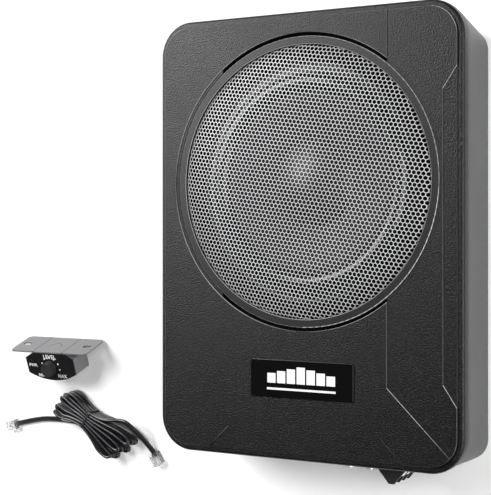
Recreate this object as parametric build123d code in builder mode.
"""Flat powered car subwoofer with its wired level remote, in millimetres.

The row frame: the enclosure lies on its back, base plate at Z = 0, +Z out of the grille,
X across its width and -Y towards the end that carries the connectors.  The origin is the
middle of the footprint on the base.  The remote and its lead lie beside it, on -X.
"""
from build123d import *
import math
import os

# ---------------------------------------------------------------- driving dimensions
WIDTH = 260.0            # front cover, X
LENGTH = 345.0           # front cover, Y
CORNER = 27.0            # corner radius of the cover
SEAM_Z = 65.0            # cover sits on the shell here
FACE_Z = 75.0            # raised middle band of the cover
PANEL_Z = 74.2           # side panels and lower recess
STRIP_Z = 73.4           # outer side strips
LEDGE_Z = 72.6           # step that runs round the face
FACE_INSET = 5.0         # face edge, in from the cover's edge
EDGE_ROUND = 2.4
EDGE_BREAK = 0.35        # small chamfer on the edges of each level of the face
CEILING_Z = 71.4         # inside of the cover's face
RIM = 3.2                # cover wall at the seam
LIP_GAP = 0.2            # locating lip, clear of the shell's wall
LIP_T = 2.0
BAND_X = 70.7            # half width of the middle band
BAND_Y = -111.7          # where the band starts to splay

WOOFER_Y = 41.7
OPENING_R = 92.0         # sound opening in the cover
RING_R = 111.5           # grille ring, outside
RING_W = 6.2
RING_FIT = 0.4           # hairline gap round the ring in the side panels
GROOVE_R = 114.3         # wider black groove where the ring runs through the band
POCKET_Z = 70.4          # floor of the grille pocket
STRIP_X = 114.4          # inner edge of the side strips
STRIP_Y = (107.0, 122.9) # strip ends: inner corner, and at the face's edge
MESH_T = 0.6
BOSS_R = 119.0           # thick annulus that carries the woofer

SHELL_INSET = 0.8
FLANGE_Z = 59.0
WALL = 3.0
FLOOR = 3.0
BACK_WIDTH = 245.0
BACK_LENGTH = 330.2
BACK_Y = -6.6
BACK_CORNER = 16.0
END_Y = -(LENGTH / 2 - SHELL_INSET)      # outside of the connector end wall

COVER_SCREWS = [(x * side, y) for x, y in ((106, 140), (112, -48), (106, -148)) for side in (1, -1)]
BOSS_END_Z = 60.0
COLUMN_R = 6.0
FOOT_BOLT_X = 190.0      # M5 fixing holes in the base
FOOT_BOLT_Y = 250.0
FOOT_BOLT_R = 2.1
FOOT_BOLT_DEPTH = 10.0

FLANGE_R = 104.5         # woofer frame
WOOFER_BOLT_R = 98.5
WOOFER_BOLTS = 8
GASKET_Z = 63.0
FRAME_Z = 60.8           # back of the frame's flange
SEAT_R = 85.0
CONE_R = 70.0
CONE_FREE = 0.3
COIL_R = 19.6

WINDOW = (200.0, 38.0)   # opening in the end wall
PANEL = (212.0, 46.0, 1.5)
PANEL_MID_Z = 33.0

BOARD = (176.0, 80.0, 1.6)
BOARD_Y = -122.0
BOARD_Z = 12.0
BOARD_POSTS = (80.0, 34.0)

REMOTE_AT = (-283.0, -106.3)
PLATE = (86.0, 31.5, 1.2)
HOUSING_DEPTH = 21.0
HOUSING_DROP = 27.0
PLATE_BACK = -31.0       # back edge of the bracket, behind the remote's face

LEAD_W = 4.8
LEAD_T = 2.4
HANK_AT = (-251.0, -166.0)
HANK_DIR = (0.829, -0.559)
HANK_H = 16.0
TIE = (20.6, 0.8, 1.8)   # outside width, thickness, length along the hank
TIE_BEND = 3.0           # corner radius inside the tie


def cover_outline(inset, mode=Mode.ADD):
    """Rounded rectangle of the cover, drawn in by an even inset."""
    RectangleRounded(WIDTH - 2 * inset, LENGTH - 2 * inset, CORNER - inset, mode=mode)


def back_outline(inset):
    """Smaller rounded rectangle of the base, flush with the cover at the connector end."""
    with Locations((0, BACK_Y)):
        RectangleRounded(BACK_WIDTH - 2 * inset, BACK_LENGTH - 2 * inset, BACK_CORNER - inset)


def dome_middle(apex_z, rim_r, rim_z):
    """Middle point of a dome's profile whose centre lies on the axis."""
    drop = apex_z - rim_z
    ball_r = (rim_r ** 2 + drop ** 2) / (2 * drop)
    return rim_r / 2, apex_z - ball_r + math.sqrt(ball_r ** 2 - rim_r ** 2 / 4)


def end_plane(depth=0.0):
    """Plane on the connector end, local X along X and local Y up; depth runs into the box."""
    return Plane(origin=(0, END_Y + depth, 0), x_dir=(1, 0, 0), z_dir=(0, -1, 0))


def woofer_plane(z):
    return Plane(origin=(0, WOOFER_Y, z), x_dir=(1, 0, 0), z_dir=(0, 0, 1))


woofer_axis_plane = Plane(origin=(0, WOOFER_Y, 0), x_dir=(1, 0, 0), z_dir=(0, -1, 0))
woofer_axis = Axis((0, WOOFER_Y, 0), (0, 0, 1))

# ---------------------------------------------------------------- front cover
FACE_HALF = WIDTH / 2 - FACE_INSET
with BuildPart() as front_cover:
    with BuildSketch(Plane.XY.offset(SEAM_Z)):
        cover_outline(0)
    extrude(amount=LEDGE_Z - SEAM_Z)
    fillet(front_cover.edges().group_by(Axis.Z)[-1], EDGE_ROUND)
    # the face rises in three levels: strips, side panels, middle band
    with BuildSketch(Plane.XY.offset(LEDGE_Z)):
        cover_outline(FACE_INSET)
    extrude(amount=STRIP_Z - LEDGE_Z)
    chamfer(front_cover.edges().group_by(Axis.Z)[-1], EDGE_BREAK)
    with BuildSketch(Plane.XY.offset(LEDGE_Z)):
        cover_outline(FACE_INSET)
        with BuildLine():
            Polyline((STRIP_X, STRIP_Y[0]), (FACE_HALF, STRIP_Y[1]), (WIDTH, STRIP_Y[1]), (WIDTH, -STRIP_Y[1]),
                     (FACE_HALF, -STRIP_Y[1]), (STRIP_X, -STRIP_Y[0]), close=True)
            mirror(about=Plane.YZ)
        make_face(mode=Mode.SUBTRACT)
    extrude(amount=PANEL_Z - LEDGE_Z)
    chamfer(front_cover.edges().group_by(Axis.Z)[-1], EDGE_BREAK)
    with BuildSketch(Plane.XY.offset(LEDGE_Z)):
        cover_outline(FACE_INSET)
        with BuildLine():
            Polyline((BAND_X, LENGTH), (BAND_X, BAND_Y), (BAND_X + 90, BAND_Y - 88), (LENGTH, 0), (LENGTH, LENGTH),
                     close=True)
            mirror(about=Plane.YZ)
        make_face(mode=Mode.SUBTRACT)
        with BuildLine():
            Polyline((-65.7, -149.9), (65.7, -149.9), (84, -168.5), (84, -180), (-84, -180), (-84, -168.5), close=True)
        make_face(mode=Mode.SUBTRACT)
        with Locations((0, WOOFER_Y)):
            Circle(GROOVE_R, mode=Mode.SUBTRACT)
    extrude(amount=FACE_Z - LEDGE_Z)
    chamfer(front_cover.edges().group_by(Axis.Z)[-1], EDGE_BREAK)
    # pocket of the grille ring, with a wide groove beside the band
    with BuildSketch(woofer_plane(POCKET_Z)):
        Circle(GROOVE_R)
        Rectangle(2 * BAND_X, LENGTH, mode=Mode.INTERSECT)
        Circle(RING_R + RING_FIT)
    extrude(amount=FACE_Z - POCKET_Z, mode=Mode.SUBTRACT)
    # inside of the cover, left thick round the woofer
    with BuildSketch(Plane.XY.offset(SEAM_Z)):
        cover_outline(RIM)
        with Locations((0, WOOFER_Y)):
            Circle(BOSS_R, mode=Mode.SUBTRACT)
    extrude(amount=CEILING_Z - SEAM_Z, mode=Mode.SUBTRACT)
    with BuildSketch(woofer_plane(SEAM_Z)):
        Circle(OPENING_R)
    extrude(amount=20, mode=Mode.SUBTRACT)
    # locating lip and screw bosses
    with BuildSketch(Plane.XY.offset(BOSS_END_Z + 1)):
        cover_outline(SHELL_INSET + WALL + LIP_GAP)
        cover_outline(SHELL_INSET + WALL + LIP_GAP + LIP_T, mode=Mode.SUBTRACT)
    extrude(amount=CEILING_Z - BOSS_END_Z - 0.8)
    with BuildSketch(Plane.XY.offset(BOSS_END_Z)):
        with Locations(*COVER_SCREWS):
            Circle(4.5)
    extrude(amount=CEILING_Z - BOSS_END_Z + 0.4)
    with BuildSketch(Plane.XY.offset(BOSS_END_Z)):
        with Locations(*COVER_SCREWS):
            Circle(1.6)
    extrude(amount=10, mode=Mode.SUBTRACT)
    with BuildSketch(woofer_plane(SEAM_Z)):
        with PolarLocations(WOOFER_BOLT_R, WOOFER_BOLTS, start_angle=22.5):
            Circle(1.7)
    extrude(amount=4, mode=Mode.SUBTRACT)

# ---------------------------------------------------------------- grille and badge
with BuildPart() as grille_ring:
    with BuildSketch(woofer_plane(POCKET_Z + MESH_T)):
        Circle(RING_R)
        Circle(RING_R - RING_W, mode=Mode.SUBTRACT)
    extrude(amount=PANEL_Z - POCKET_Z - MESH_T)
    fillet(grille_ring.edges().filter_by(GeomType.CIRCLE).group_by(Axis.Z)[-1], 0.5)

MESH_R = RING_R - RING_W - 0.4
with BuildPart() as grille_mesh:
    with BuildSketch(woofer_axis_plane):
        with BuildLine():
            Polyline((RING_R - 1, POCKET_Z), (RING_R - 1, POCKET_Z + MESH_T), (MESH_R, POCKET_Z + MESH_T),
                     (MESH_R, 73.4), (MESH_R - 3, 75.4), (MESH_R - 10, 77.6))
            ThreePointArc((MESH_R - 10, 77.6), dome_middle(80, MESH_R - 10, 77.6), (0, 80.0))
            Line((0, 80.0), (0, 79.2))
            ThreePointArc((0, 79.2), dome_middle(79.2, MESH_R - 10, 76.8), (MESH_R - 10, 76.8))
            Polyline((MESH_R - 10, 76.8), (MESH_R - 3.4, 74.7), (MESH_R - 0.6, 73.0), (MESH_R - 0.6, POCKET_Z),
                     (RING_R - 1, POCKET_Z))
        make_face()
    revolve(axis=woofer_axis)

with BuildPart() as badge_plate:
    with BuildSketch(Plane.XY.offset(FACE_Z)):
        with Locations((0, -109.7)):
            RectangleRounded(88, 29, 1.2)
    extrude(amount=1.2)
    fillet(badge_plate.edges().group_by(Axis.Z)[-1], 0.3)

# ---------------------------------------------------------------- rear shell
with BuildPart() as rear_shell:
    with BuildSketch(Plane.XY):
        back_outline(0)
    with BuildSketch(Plane.XY.offset(FLANGE_Z)):
        cover_outline(SHELL_INSET)
    loft()
    with BuildSketch(Plane.XY.offset(FLANGE_Z)):
        cover_outline(SHELL_INSET)
    extrude(amount=SEAM_Z - FLANGE_Z)
    with BuildSketch(Plane.XY.offset(FLOOR)):
        back_outline(WALL)
    with BuildSketch(Plane.XY.offset(FLANGE_Z)):
        cover_outline(SHELL_INSET + WALL)
    loft(mode=Mode.SUBTRACT)
    with BuildSketch(Plane.XY.offset(FLANGE_Z)):
        cover_outline(SHELL_INSET + WALL)
    extrude(amount=10, mode=Mode.SUBTRACT)
    # screw columns, board posts and fixing bosses
    with BuildSketch(Plane.XY.offset(FLOOR - 1)):
        with Locations(*COVER_SCREWS):
            Circle(COLUMN_R)
    extrude(amount=BOSS_END_Z - FLOOR + 1)
    with BuildSketch(Plane.XY.offset(FLOOR - 1)):
        with Locations((0, BOARD_Y)):
            with GridLocations(2 * BOARD_POSTS[0], 2 * BOARD_POSTS[1], 2, 2):
                Circle(3.5)
    extrude(amount=BOARD_Z - FLOOR + 1)
    with BuildSketch(Plane.XY.offset(FLOOR - 1)):
        with GridLocations(FOOT_BOLT_X, FOOT_BOLT_Y, 2, 2):
            Circle(6)
    extrude(amount=FOOT_BOLT_DEPTH + 1)
    with BuildSketch(Plane.XY):
        with GridLocations(FOOT_BOLT_X, FOOT_BOLT_Y, 2, 2):
            Circle(FOOT_BOLT_R)
    extrude(amount=FOOT_BOLT_DEPTH, mode=Mode.SUBTRACT)
    with BuildSketch(Plane.XY):
        with Locations(*COVER_SCREWS):
            Circle(3.8)
    extrude(amount=46, mode=Mode.SUBTRACT)
    with BuildSketch(Plane.XY):
        with Locations(*COVER_SCREWS):
            Circle(2.2)
    extrude(amount=70, mode=Mode.SUBTRACT)
    with BuildSketch(Plane.XY.offset(6)):
        with Locations((0, BOARD_Y)):
            with GridLocations(2 * BOARD_POSTS[0], 2 * BOARD_POSTS[1], 2, 2):
                Circle(1.4)
    extrude(amount=10, mode=Mode.SUBTRACT)
    # recess and window for the connector panel
    with BuildSketch(end_plane(-1)):
        with Locations((0, PANEL_MID_Z)):
            Rectangle(PANEL[0], PANEL[1])
    extrude(amount=-PANEL[2] - 1, mode=Mode.SUBTRACT)
    with BuildSketch(end_plane(-1)):
        with Locations((0, PANEL_MID_Z)):
            Rectangle(*WINDOW)
    extrude(amount=-10, mode=Mode.SUBTRACT)
    fillet(rear_shell.edges().filter_by_position(Axis.Z, -0.1, 0.1).filter_by(lambda e: e.length > 40), 2.0)

with BuildPart() as cover_screws:
    with BuildSketch(Plane.XY.offset(42.8)):
        with Locations(*COVER_SCREWS):
            Circle(3.4)
    extrude(amount=3.2)
    with BuildSketch(Plane.XY.offset(46)):
        with Locations(*COVER_SCREWS):
            Circle(1.6)
    extrude(amount=22)
    with BuildSketch(Plane.XY.offset(42.8)):
        with Locations(*COVER_SCREWS):
            Rectangle(0.8, 4)
            Rectangle(4, 0.8)
    extrude(amount=1.4, mode=Mode.SUBTRACT)

# ---------------------------------------------------------------- woofer
with BuildPart() as woofer_gasket:
    with BuildSketch(woofer_plane(GASKET_Z)):
        Circle(FLANGE_R)
        Circle(OPENING_R, mode=Mode.SUBTRACT)
        with PolarLocations(WOOFER_BOLT_R, WOOFER_BOLTS, start_angle=22.5):
            Circle(2.2, mode=Mode.SUBTRACT)
    extrude(amount=SEAM_Z - GASKET_Z)

with BuildPart() as woofer_frame:
    with BuildSketch(woofer_axis_plane):
        with BuildLine():
            Polyline((SEAT_R, GASKET_Z), (FLANGE_R, GASKET_Z), (FLANGE_R, FRAME_Z), (SEAT_R + 3, FRAME_Z),
                     (62, 31), (30, 31), (30, 33), (60.5, 33), (SEAT_R, 59.6), close=True)
        make_face()
    revolve(axis=woofer_axis)
    with BuildSketch(woofer_plane(FRAME_Z - 5)):
        with PolarLocations(WOOFER_BOLT_R, WOOFER_BOLTS, start_angle=22.5):
            Circle(2.2)
    extrude(amount=10, mode=Mode.SUBTRACT)
    # windows between the six arms of the basket
    with BuildSketch(woofer_plane(35)):
        with PolarLocations(0, 6):
            with BuildLine():
                Line((62 * math.cos(0.30), 62 * math.sin(0.30)), (84 * math.cos(0.36), 84 * math.sin(0.36)))
                ThreePointArc((84 * math.cos(0.36), 84 * math.sin(0.36)), (84, 0),
                              (84 * math.cos(0.36), -84 * math.sin(0.36)))
                Line((84 * math.cos(0.36), -84 * math.sin(0.36)), (62 * math.cos(0.30), -62 * math.sin(0.30)))
                ThreePointArc((62 * math.cos(0.30), -62 * math.sin(0.30)), (62, 0),
                              (62 * math.cos(0.30), 62 * math.sin(0.30)))
            make_face()
    extrude(amount=22, mode=Mode.SUBTRACT)

with BuildPart() as woofer_screws:
    with BuildSketch(woofer_plane(FRAME_Z - 2.2)):
        with PolarLocations(WOOFER_BOLT_R, WOOFER_BOLTS, start_angle=22.5):
            Circle(3.5)
    extrude(amount=2.2)
    with BuildSketch(woofer_plane(FRAME_Z)):
        with PolarLocations(WOOFER_BOLT_R, WOOFER_BOLTS, start_angle=22.5):
            Circle(1.7)
    extrude(amount=8)

with BuildPart() as surround:
    with BuildSketch(woofer_axis_plane):
        with BuildLine():
            Line((CONE_R, GASKET_Z), (CONE_R + 1.5, GASKET_Z))
            ThreePointArc((CONE_R + 1.5, GASKET_Z), (78, 68.6), (84.5, GASKET_Z))
            Polyline((84.5, GASKET_Z), (90, GASKET_Z), (90, GASKET_Z + 1), (84.9, GASKET_Z + 1))
            ThreePointArc((84.9, GASKET_Z + 1), (78, 69.6), (CONE_R, GASKET_Z + 1))
            Line((CONE_R, GASKET_Z + 1), (CONE_R, GASKET_Z))
        make_face()
    revolve(axis=woofer_axis)

with BuildPart() as cone:
    with BuildSketch(woofer_axis_plane):
        with BuildLine():
            Polyline((COIL_R + 0.4, 47), (COIL_R + 1.6, 46.4), (CONE_R - 3, 62), (CONE_R - CONE_FREE, 62),
                     (CONE_R - CONE_FREE, 63), (CONE_R - 3.6, 63), (COIL_R + 0.4, 48.2), close=True)
        make_face()
    revolve(axis=woofer_axis)

with BuildPart() as dust_cap:
    with BuildSketch(woofer_axis_plane):
        with BuildLine():
            Line((34.0, 53.3), (32.0, 53.3))
            ThreePointArc((32.0, 53.3), dome_middle(61.4, 32.0, 53.3), (0, 61.4))
            Line((0, 61.4), (0, 62.4))
            ThreePointArc((0, 62.4), dome_middle(62.4, 34.0, 53.3), (34.0, 53.3))
        make_face()
    revolve(axis=woofer_axis)

with BuildPart() as voice_coil:
    with BuildSketch(woofer_plane(20)):
        Circle(COIL_R + 0.4)
        Circle(COIL_R, mode=Mode.SUBTRACT)
    extrude(amount=28)
    with BuildSketch(woofer_plane(22)):
        Circle(COIL_R + 1.0)
        Circle(COIL_R, mode=Mode.SUBTRACT)
    extrude(amount=12)

with BuildPart() as spider:
    with BuildSketch(woofer_plane(40)):
        Circle(56)
        Circle(COIL_R + 0.8, mode=Mode.SUBTRACT)
    extrude(amount=0.8)
    with BuildSketch(woofer_plane(33)):
        Circle(56)
        Circle(53.5, mode=Mode.SUBTRACT)
    extrude(amount=7)

with BuildPart() as magnet:
    with BuildSketch(woofer_plane(11)):
        Circle(55)
        Circle(27, mode=Mode.SUBTRACT)
    extrude(amount=14)
    fillet(magnet.edges(), 1.0)

with BuildPart() as top_plate:
    with BuildSketch(woofer_plane(25)):
        Circle(50)
        Circle(COIL_R + 1.9, mode=Mode.SUBTRACT)
    extrude(amount=6)

with BuildPart() as pole_yoke:
    with BuildSketch(woofer_plane(5)):
        Circle(50)
    extrude(amount=6)
    with BuildSketch(woofer_plane(11)):
        Circle(COIL_R - 0.6)
    extrude(amount=20)
    with BuildSketch(woofer_plane(5)):
        Circle(6)
    extrude(amount=26, mode=Mode.SUBTRACT)

with BuildPart() as woofer_terminals:
    with BuildSketch(Plane.XY.offset(56.8)):
        with Locations((0, WOOFER_Y - 92)):
            Rectangle(22, 8)
    extrude(amount=4)
    with BuildSketch(Plane.XY.offset(50)):
        with Locations((-6, WOOFER_Y - 92), (6, WOOFER_Y - 92)):
            Rectangle(4.8, 0.8)
    extrude(amount=6.8)

# ---------------------------------------------------------------- connector end
POT_X = {"gain": -92.0, "crossover": -76.0, "boost": -60.0}
SWITCH_X = {"phase": -46.0, "input": -35.0}
LAMP_X = -25.5
REMOTE_SOCKET_X = -14.0
SPEAKER_SOCKET_X = 4.0
RCA_X = (21.0, 39.0)
RCA_BARREL = (4.15, 3.3, 8.0)   # outside and inside radius, length
RCA_SHANK_R = 3.9
RCA_OUT = 0.5            # barrel starts this far off the panel
TERMINAL_X = 62.5
FUSE_X = 89.0
PANEL_SCREWS = [(x, PANEL_MID_Z + dz) for x in (-103.0, 103.0) for dz in (-18.0, 18.0)]

with BuildPart() as connector_panel:
    with BuildSketch(end_plane()):
        with Locations((0, PANEL_MID_Z)):
            Rectangle(PANEL[0] - 0.4, PANEL[1] - 0.4)
        with Locations(*[(x, PANEL_MID_Z) for x in POT_X.values()]):
            Circle(3.4, mode=Mode.SUBTRACT)
        with Locations(*[(x, PANEL_MID_Z) for x in SWITCH_X.values()]):
            Rectangle(3.8, 9.4, mode=Mode.SUBTRACT)
        with Locations((LAMP_X, PANEL_MID_Z)):
            Circle(1.5, mode=Mode.SUBTRACT)
        with Locations((REMOTE_SOCKET_X, PANEL_MID_Z)):
            Rectangle(12, 10, mode=Mode.SUBTRACT)
        with Locations((SPEAKER_SOCKET_X, PANEL_MID_Z)):
            Rectangle(15, 11, mode=Mode.SUBTRACT)
        with Locations(*[(x, PANEL_MID_Z) for x in RCA_X]):
            Circle(RCA_SHANK_R, mode=Mode.SUBTRACT)
        with Locations((TERMINAL_X, PANEL_MID_Z)):
            Rectangle(22, 28, mode=Mode.SUBTRACT)
        with Locations((FUSE_X, PANEL_MID_Z)):
            Rectangle(20, 8, mode=Mode.SUBTRACT)
        with Locations(*PANEL_SCREWS):
            Circle(1.3, mode=Mode.SUBTRACT)
    extrude(amount=-PANEL[2])

with BuildPart() as panel_screws:
    with BuildSketch(end_plane()):
        with Locations(*PANEL_SCREWS):
            Circle(2.4)
    extrude(amount=1.2)
    with BuildSketch(end_plane()):
        with Locations(*PANEL_SCREWS):
            Circle(1.3)
    extrude(amount=-PANEL[2])
    with BuildSketch(end_plane(-1.2)):
        with Locations(*PANEL_SCREWS):
            Rectangle(3, 0.6)
            Rectangle(0.6, 3)
    extrude(amount=-0.8, mode=Mode.SUBTRACT)

with BuildPart() as control_pots:
    with BuildSketch(end_plane(PANEL[2])):
        with Locations(*[(x, PANEL_MID_Z) for x in POT_X.values()]):
            RectangleRounded(10, 11, 1)
    extrude(amount=-8)
    with BuildSketch(end_plane(PANEL[2])):
        with Locations(*[(x, PANEL_MID_Z) for x in POT_X.values()]):
            Circle(3.4)
    extrude(amount=PANEL[2])
    with BuildSketch(end_plane()):
        with Locations(*[(x, PANEL_MID_Z) for x in POT_X.values()]):
            Circle(1.56)
    extrude(amount=-7, mode=Mode.SUBTRACT)


def control_knob(x):
    """Small knob with its shaft, a pointer groove across the front."""
    with BuildPart() as knob:
        with BuildSketch(end_plane(-0.4)):
            with Locations((x, PANEL_MID_Z)):
                Circle(5.2)
        extrude(amount=4)
        with BuildSketch(end_plane(-0.4)):
            with Locations((x, PANEL_MID_Z)):
                Circle(1.5)
        extrude(amount=-6.4)
        with BuildSketch(end_plane(-4.4)):
            with Locations((x, PANEL_MID_Z + 2.8)):
                Rectangle(0.9, 4)
        extrude(amount=-0.8, mode=Mode.SUBTRACT)
    return knob


gain_knob = control_knob(POT_X["gain"])
crossover_knob = control_knob(POT_X["crossover"])
boost_knob = control_knob(POT_X["boost"])

with BuildPart() as switch_bodies:
    with BuildSketch(end_plane(PANEL[2])):
        with Locations(*[(x, PANEL_MID_Z) for x in SWITCH_X.values()]):
            Rectangle(7, 15)
    extrude(amount=-7)
    with BuildSketch(end_plane(PANEL[2])):
        with Locations(*[(x, PANEL_MID_Z) for x in SWITCH_X.values()]):
            Rectangle(4, 10)
    extrude(amount=-3.5, mode=Mode.SUBTRACT)


def switch_slider(x):
    """Switch lever, at the lower end of its slot."""
    with BuildPart() as slider:
        with BuildSketch(end_plane(PANEL[2] + 3)):
            with Locations((x, PANEL_MID_Z - 2)):
                Rectangle(3.2, 4.4)
        extrude(amount=3 + PANEL[2] + 2.2)
    return slider


phase_slider = switch_slider(SWITCH_X["phase"])
input_slider = switch_slider(SWITCH_X["input"])

with BuildPart() as power_lamp:
    with BuildSketch(end_plane(6)):
        with Locations((LAMP_X, PANEL_MID_Z)):
            Circle(1.5)
    extrude(amount=7)
    fillet(power_lamp.faces().sort_by(Axis.Y)[0].edges(), 0.8)

with BuildPart() as remote_socket:
    with BuildSketch(end_plane(12)):
        with Locations((REMOTE_SOCKET_X, PANEL_MID_Z)):
            Rectangle(12, 10)
    extrude(amount=12.4)
    with BuildSketch(end_plane(-0.4)):
        with Locations((REMOTE_SOCKET_X, PANEL_MID_Z)):
            Rectangle(9.8, 6.8)
    extrude(amount=-11, mode=Mode.SUBTRACT)

with BuildPart() as speaker_socket:
    with BuildSketch(end_plane(12)):
        with Locations((SPEAKER_SOCKET_X, PANEL_MID_Z)):
            Rectangle(15, 11)
    extrude(amount=13)
    with BuildSketch(end_plane(-1)):
        with Locations((SPEAKER_SOCKET_X, PANEL_MID_Z)):
            Rectangle(12.6, 8.6)
    extrude(amount=-10, mode=Mode.SUBTRACT)

with BuildPart() as speaker_pins:
    with BuildSketch(end_plane(9)):
        with Locations((SPEAKER_SOCKET_X, PANEL_MID_Z + 2.8)):
            with GridLocations(2.8, 0, 4, 1):
                Rectangle(1, 1)
    extrude(amount=6)

with BuildPart() as rca_jacks:
    with BuildSketch(end_plane(3)):
        with Locations(*[(x, PANEL_MID_Z) for x in RCA_X]):
            Circle(RCA_SHANK_R)
            Circle(RCA_BARREL[1], mode=Mode.SUBTRACT)
    extrude(amount=3 + RCA_OUT)
    with BuildSketch(end_plane(-RCA_OUT)):
        with Locations(*[(x, PANEL_MID_Z) for x in RCA_X]):
            Circle(RCA_BARREL[0])
            Circle(RCA_BARREL[1], mode=Mode.SUBTRACT)
    extrude(amount=RCA_BARREL[2])

with BuildPart() as rca_inserts:
    with BuildSketch(end_plane(9)):
        with Locations(*[(x, PANEL_MID_Z) for x in RCA_X]):
            Circle(3.3)
            Circle(1.7, mode=Mode.SUBTRACT)
    extrude(amount=17)

# V-shaped barrier terminal: fins of the full section, a smaller body between them
V_WIDE = 31.0
V_TALL = 16.0
V_TIP = 4.4
V_SCALE = 0.76
FIN_T = 1.6
WAY_PITCH = 9.4
FIN_Z = [18.0 + i * WAY_PITCH for i in range(4)]


def vee(scale):
    """V section of the terminal, drawn on XY with its wide side on the panel."""
    with BuildLine() as outline:
        Polyline((TERMINAL_X - scale * V_WIDE / 2, END_Y), (TERMINAL_X - scale * V_TIP / 2, END_Y - scale * V_TALL),
                 (TERMINAL_X + scale * V_TIP / 2, END_Y - scale * V_TALL), (TERMINAL_X + scale * V_WIDE / 2, END_Y),
                 close=True)
    make_face(outline.edges())


with BuildPart() as power_terminal:
    for z in FIN_Z:
        with BuildSketch(Plane.XY.offset(z)):
            vee(1.0)
        extrude(amount=FIN_T)
    with BuildSketch(Plane.XY.offset(FIN_Z[0])):
        vee(V_SCALE)
    extrude(amount=FIN_Z[-1] - FIN_Z[0] + FIN_T)
    with BuildSketch(end_plane()):
        with Locations((TERMINAL_X, PANEL_MID_Z)):
            Rectangle(22, 28)
    extrude(amount=-10)

slope = Vector(V_WIDE / 2 - V_TIP / 2, V_TALL, 0).normalized()
clamp_plane = Plane(origin=(TERMINAL_X + V_SCALE * (V_WIDE + V_TIP) / 4, END_Y - V_SCALE * V_TALL / 2, 0),
                    x_dir=(0, 0, 1), z_dir=(slope.Y, -slope.X, 0))
WAY_MID_Z = [z + FIN_T + (WAY_PITCH - FIN_T) / 2 for z in FIN_Z[:-1]]

with BuildPart() as terminal_clamps:
    with BuildSketch(clamp_plane):
        with Locations(*[(z, 0) for z in WAY_MID_Z]):
            Rectangle(7.2, 11.5)
    extrude(amount=1.0)

with BuildPart() as terminal_screws:
    with BuildSketch(clamp_plane.offset(1.0)):
        with Locations(*[(z, 0.6) for z in WAY_MID_Z]):
            Circle(2.7)
    extrude(amount=1.8)
    with BuildSketch(clamp_plane.offset(2.8)):
        with Locations(*[(z, 0.6) for z in WAY_MID_Z]):
            Rectangle(0.8, 6)
    extrude(amount=-0.9, mode=Mode.SUBTRACT)

with BuildPart() as fuse_holder:
    with BuildSketch(end_plane(14)):
        with Locations((FUSE_X, PANEL_MID_Z)):
            Rectangle(20, 8)
    extrude(amount=15)
    with BuildSketch(end_plane(-1)):
        with Locations((FUSE_X, PANEL_MID_Z)):
            Rectangle(18.6, 5.4)
    extrude(amount=-4, mode=Mode.SUBTRACT)
    with BuildSketch(end_plane(3)):
        with Locations((FUSE_X - 5.4, PANEL_MID_Z), (FUSE_X + 5.4, PANEL_MID_Z)):
            Rectangle(5.2, 0.8)
    extrude(amount=-8, mode=Mode.SUBTRACT)

with BuildPart() as fuse:
    with BuildSketch(end_plane(2.6)):
        with Locations((FUSE_X, PANEL_MID_Z)):
            RectangleRounded(18, 4.8, 0.8)
    extrude(amount=7.4)
    with BuildSketch(end_plane(2.6)):
        with Locations((FUSE_X - 5.4, PANEL_MID_Z), (FUSE_X + 5.4, PANEL_MID_Z)):
            Rectangle(5.0, 0.7)
    extrude(amount=-8)

# ---------------------------------------------------------------- amplifier
with BuildPart() as amplifier_board:
    with BuildSketch(Plane.XY.offset(BOARD_Z)):
        with Locations((0, BOARD_Y)):
            Rectangle(BOARD[0], BOARD[1])
            with GridLocations(2 * BOARD_POSTS[0], 2 * BOARD_POSTS[1], 2, 2):
                Circle(1.6, mode=Mode.SUBTRACT)
    extrude(amount=BOARD[2])

BOARD_TOP = BOARD_Z + BOARD[2]
with BuildPart() as board_screws:
    with BuildSketch(Plane.XY.offset(BOARD_TOP)):
        with Locations((0, BOARD_Y)):
            with GridLocations(2 * BOARD_POSTS[0], 2 * BOARD_POSTS[1], 2, 2):
                Circle(2.8)
    extrude(amount=1.8)
    with BuildSketch(Plane.XY.offset(6)):
        with Locations((0, BOARD_Y)):
            with GridLocations(2 * BOARD_POSTS[0], 2 * BOARD_POSTS[1], 2, 2):
                Circle(1.4)
    extrude(amount=BOARD_TOP - 6)

HEATSINK_Y = -72.0
with BuildPart() as heatsink:
    with BuildSketch(Plane.XY.offset(FLOOR)):
        with Locations((0, HEATSINK_Y)):
            Rectangle(150, 4)
        with Locations((0, HEATSINK_Y + 5)):
            with GridLocations(10, 0, 15, 1):
                Rectangle(2, 8)
    extrude(amount=26)

TRANSISTOR_X = [-60.0, -30.0, 30.0, 60.0]
with BuildPart() as output_transistors:
    with BuildSketch(Plane.XY.offset(BOARD_TOP + 1)):
        with Locations(*[(x, HEATSINK_Y - 4.3) for x in TRANSISTOR_X]):
            Rectangle(10, 4.6)
    extrude(amount=13)

with BuildPart() as reservoir_capacitors:
    with BuildSketch(Plane.XY.offset(BOARD_TOP)):
        with Locations((0, BOARD_Y)):
            with GridLocations(19, 0, 3, 1):
                Circle(8)
    extrude(amount=28)
    fillet(reservoir_capacitors.edges().filter_by(GeomType.CIRCLE).group_by(Axis.Z)[-1], 1.0)

with BuildPart() as toroid_coil:
    with BuildSketch(Plane(origin=(52, BOARD_Y + 4, BOARD_TOP), x_dir=(1, 0, 0), z_dir=(0, -1, 0))):
        with Locations((14, 7)):
            RectangleRounded(13, 13.9, 4)
    revolve(axis=Axis((52, BOARD_Y + 4, 0), (0, 0, 1)))

with BuildPart() as power_transformer:
    with BuildSketch(Plane.XY.offset(BOARD_TOP)):
        with Locations((-56, BOARD_Y + 2)):
            RectangleRounded(30, 26, 2)
    extrude(amount=20)
    chamfer(power_transformer.edges().group_by(Axis.Z)[-1], 2)

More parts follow.
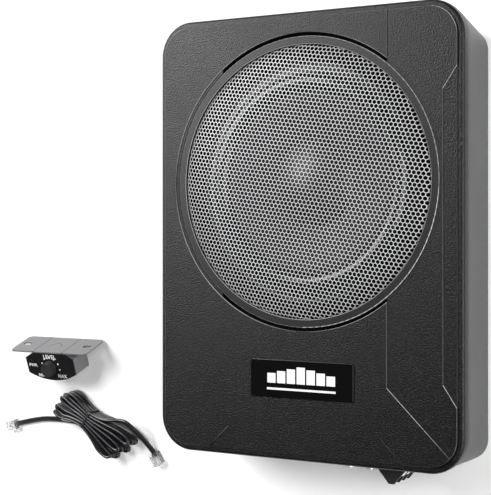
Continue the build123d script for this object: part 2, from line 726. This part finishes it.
# ---------------------------------------------------------------- wired level remote
TILT = math.atan2(-PLATE_BACK - HOUSING_DEPTH, HOUSING_DROP)
REMOTE_Z = HOUSING_DROP * math.sin(TILT) + HOUSING_DEPTH * math.cos(TILT)
face_plane = Plane(origin=(*REMOTE_AT, REMOTE_Z), x_dir=(1, 0, 0), z_dir=(0, -math.sin(TILT), math.cos(TILT)))
HALF_TOP = 16.4
HALF_WIDE = 26.8
SHOULDER = -5.3
SIDE_END = -20.2
KNOB_V = -14.2
INLET_AT = (15.0, -13.0)


def remote_section(inset):
    """Front outline of the remote: sloped shoulders, straight sides, bowed underside."""
    with BuildLine() as outline:
        Polyline((-HALF_WIDE + inset, SIDE_END), (-HALF_WIDE + inset, SHOULDER - inset * 0.6),
                 (-HALF_TOP + inset * 0.6, -inset), (HALF_TOP - inset * 0.6, -inset),
                 (HALF_WIDE - inset, SHOULDER - inset * 0.6), (HALF_WIDE - inset, SIDE_END))
        ThreePointArc((HALF_WIDE - inset, SIDE_END), (0, -HOUSING_DROP + inset), (-HALF_WIDE + inset, SIDE_END))
    make_face(outline.edges())


with BuildPart() as remote_bracket:
    with BuildSketch(Plane(origin=face_plane.origin, x_dir=(1, 0, 0), z_dir=face_plane.y_dir)):
        # local Y of this plane points back, away from the face
        with Locations((0, -PLATE_BACK - PLATE[1] / 2)):
            RectangleRounded(PLATE[0], PLATE[1], 4)
            with GridLocations(68, 0, 2, 1):
                SlotOverall(9, 4.2, mode=Mode.SUBTRACT)
    extrude(amount=PLATE[2])

with BuildPart() as remote_housing:
    with BuildSketch(face_plane.offset(-HOUSING_DEPTH)):
        remote_section(0)
    extrude(amount=HOUSING_DEPTH - 1.2)
    with BuildSketch(face_plane.offset(-HOUSING_DEPTH + 1.6)):
        remote_section(1.6)
    extrude(amount=HOUSING_DEPTH, mode=Mode.SUBTRACT)
    with BuildSketch(face_plane.offset(-HOUSING_DEPTH)):
        with Locations(INLET_AT):
            Rectangle(12, 11)
    extrude(amount=5, both=True, mode=Mode.SUBTRACT)

with BuildPart() as remote_face:
    with BuildSketch(face_plane.offset(-1.2)):
        remote_section(0)
        with Locations((0, KNOB_V)):
            Circle(3.2, mode=Mode.SUBTRACT)
        with Locations((-20.4, -8.6)):
            Circle(1.4, mode=Mode.SUBTRACT)
    extrude(amount=1.2)

with BuildPart() as remote_board:
    with BuildSketch(face_plane.offset(-15)):
        with Locations((-8, -13)):
            Rectangle(28, 15)
    extrude(amount=1.4)

with BuildPart() as remote_pot:
    with BuildSketch(face_plane.offset(-13.6)):
        with Locations((0, KNOB_V)):
            RectangleRounded(12, 11, 1)
    extrude(amount=8)
    with BuildSketch(face_plane.offset(-5.6)):
        with Locations((0, KNOB_V)):
            Circle(3.2)
    extrude(amount=5.6)
    with BuildSketch(face_plane.offset(-9)):
        with Locations((0, KNOB_V)):
            Circle(1.56)
    extrude(amount=10, mode=Mode.SUBTRACT)

with BuildPart() as remote_knob:
    with BuildSketch(face_plane.offset(0.5)):
        with Locations((0, KNOB_V)):
            Circle(6.8)
    extrude(amount=6.5, taper=3)
    with BuildSketch(face_plane.offset(-8)):
        with Locations((0, KNOB_V)):
            Circle(1.5)
    extrude(amount=9)

with BuildPart() as remote_lamp:
    with BuildSketch(face_plane.offset(-6)):
        with Locations((-20.4, -8.6)):
            Circle(1.4)
    extrude(amount=6.6)

with BuildPart() as remote_inlet:
    with BuildSketch(face_plane.offset(-HOUSING_DEPTH)):
        with Locations(INLET_AT):
            Rectangle(11.6, 10.6)
    extrude(amount=11)
    with BuildSketch(face_plane.offset(-HOUSING_DEPTH)):
        with Locations(INLET_AT):
            Rectangle(9.8, 8.6)
    extrude(amount=10, mode=Mode.SUBTRACT)

# ---------------------------------------------------------------- remote lead
hank_plane = Plane(origin=(*HANK_AT, 0), x_dir=(*HANK_DIR, 0), z_dir=(0, 0, 1))
HANK_OUTLINE = [(-38, -17), (-34, -19.5), (-16, -14.5), (-3, -10.3), (9, -10.3), (25, -15), (42, -16), (50, -4),
                (54, 11), (49, 21), (37, 22), (19, 15.5), (3, 10.5), (-9, 10.3), (-27, 11), (-36, 4)]
tie_plane = Plane(origin=(*HANK_AT, HANK_H / 2), x_dir=(-HANK_DIR[1], HANK_DIR[0], 0), z_dir=(*HANK_DIR, 0))


with BuildPart() as lead_hank:
    with BuildSketch(hank_plane.offset(0.2)):
        with BuildLine():
            Polyline(*HANK_OUTLINE, close=True)
        make_face()
    extrude(amount=HANK_H - 0.2)
    fillet(lead_hank.edges().group_by(Axis.Z)[-1], 3.0)
    with BuildSketch(tie_plane):
        Rectangle(2 * TIE[0], 2 * HANK_H)
        RectangleRounded(TIE[0] - 2 * TIE[1], HANK_H - 2 * TIE[1], TIE_BEND, mode=Mode.SUBTRACT)
    extrude(amount=TIE[2] / 2, both=True, mode=Mode.SUBTRACT)

with BuildPart() as hank_tie:
    with BuildSketch(tie_plane):
        RectangleRounded(TIE[0], HANK_H, TIE_BEND + TIE[1])
        RectangleRounded(TIE[0] - 2 * TIE[1], HANK_H - 2 * TIE[1], TIE_BEND, mode=Mode.SUBTRACT)
    extrude(amount=TIE[2] / 2, both=True)


def lead_radii(points):
    """Arc radius for each corner: 0.45 of the shorter run over the tangent of half the turn."""
    radii = []
    for before, at, after in zip(points, points[1:], points[2:]):
        run_in = Vector(*at) - Vector(*before)
        run_out = Vector(*after) - Vector(*at)
        turn = math.radians(run_in.get_angle(run_out))
        radii.append(0.45 * min(run_in.length, run_out.length) / math.tan(turn / 2))
    return radii


def lead_end(points, name):
    """Flat lead along straight runs joined by tangent arcs, and its checks on the screen."""
    radii = lead_radii(points)
    with BuildPart() as tube:
        with BuildLine() as route:
            FilletPolyline(*points, radius=radii)
        start = Vector(*points[1]) - Vector(*points[0])
        across = Vector(0, 0, 1).cross(start).normalized()
        with BuildSketch(Plane(origin=points[0], x_dir=across, z_dir=start)) as section:
            RectangleRounded(LEAD_W, LEAD_T, 1.1)
        sweep(path=route.wires()[0])
    length = route.wires()[0].length
    expected = section.sketch.area * length
    print(name, "radii", [round(r, 1) for r in radii], "length", round(length, 1),
          "volume ratio", round(tube.part.volume / expected, 4))
    return tube


LEFT_ROUTE = [(-266.0, -171.0, 1.4), (-292.0, -169.6, 1.4), (-318.0, -171.5, 1.4), (-342.6, -178.3, 1.4)]
RIGHT_ROUTE = [(-209.0, -163.5, 13.6), (-200.0, -169.6, 14.2), (-192.0, -179.5, 8.6), (-187.0, -189.0, 2.8),
               (-182.8, -195.0, 1.6)]
lead_end_a = lead_end(LEFT_ROUTE, "lead_end_a")
lead_end_b = lead_end(RIGHT_ROUTE, "lead_end_b")


PLUG = (9.0, 5.6, 11.0)  # width, height, length of the six-way plug


def modular_plug(route):
    """Clear six-way plug lying on its flat side, with its latch, on the end of a route."""
    tip = Vector(*route[-1])
    along = tip - Vector(*route[-2])
    along = Vector(along.X, along.Y, 0).normalized()
    side = Vector(0, 0, 1).cross(along)
    foot = Vector(tip.X, tip.Y, 0) - along * 3
    with BuildPart() as plug:
        with BuildSketch(Plane(origin=foot, x_dir=side, z_dir=along)):
            with Locations((0, PLUG[1] / 2 + 0.2)):
                Rectangle(PLUG[0], PLUG[1])
        extrude(amount=PLUG[2])
        with BuildSketch(Plane(origin=foot + along * PLUG[2], x_dir=along, z_dir=side * -1)):
            with BuildLine():
                Polyline((0, 5.4), (0, 6.2), (-9.6, 7.8), (-9.6, 6.9), (-2, 5.4), close=True)
            make_face()
        extrude(amount=1.6, both=True)
    return plug


lead_plug_a = modular_plug(LEFT_ROUTE)
lead_plug_b = modular_plug(RIGHT_ROUTE)

# ---------------------------------------------------------------- write every piece
pieces = {
    "front_cover": front_cover, "grille_ring": grille_ring, "grille_mesh": grille_mesh,
    "badge_plate": badge_plate, "rear_shell": rear_shell, "cover_screws": cover_screws,
    "woofer_gasket": woofer_gasket, "woofer_frame": woofer_frame, "woofer_screws": woofer_screws,
    "surround": surround, "cone": cone, "dust_cap": dust_cap, "voice_coil": voice_coil, "spider": spider,
    "magnet": magnet, "top_plate": top_plate, "pole_yoke": pole_yoke, "woofer_terminals": woofer_terminals,
    "connector_panel": connector_panel, "panel_screws": panel_screws, "control_pots": control_pots,
    "gain_knob": gain_knob, "crossover_knob": crossover_knob, "boost_knob": boost_knob,
    "switch_bodies": switch_bodies, "phase_slider": phase_slider, "input_slider": input_slider,
    "power_lamp": power_lamp, "remote_socket": remote_socket, "speaker_socket": speaker_socket,
    "speaker_pins": speaker_pins, "rca_jacks": rca_jacks, "rca_inserts": rca_inserts,
    "power_terminal": power_terminal, "terminal_clamps": terminal_clamps, "terminal_screws": terminal_screws,
    "fuse_holder": fuse_holder, "fuse": fuse, "amplifier_board": amplifier_board, "board_screws": board_screws,
    "heatsink": heatsink, "output_transistors": output_transistors,
    "reservoir_capacitors": reservoir_capacitors, "toroid_coil": toroid_coil,
    "power_transformer": power_transformer, "remote_bracket": remote_bracket, "remote_housing": remote_housing,
    "remote_face": remote_face, "remote_board": remote_board, "remote_pot": remote_pot,
    "remote_knob": remote_knob, "remote_lamp": remote_lamp, "remote_inlet": remote_inlet,
    "lead_hank": lead_hank, "hank_tie": hank_tie, "lead_end_a": lead_end_a, "lead_end_b": lead_end_b,
    "lead_plug_a": lead_plug_a, "lead_plug_b": lead_plug_b,
}
os.makedirs("parts", exist_ok=True)
for name, piece in pieces.items():
    piece.part.label = name
    export_step(piece.part, f"parts/{name}.step")
print(len(pieces), "pieces written")
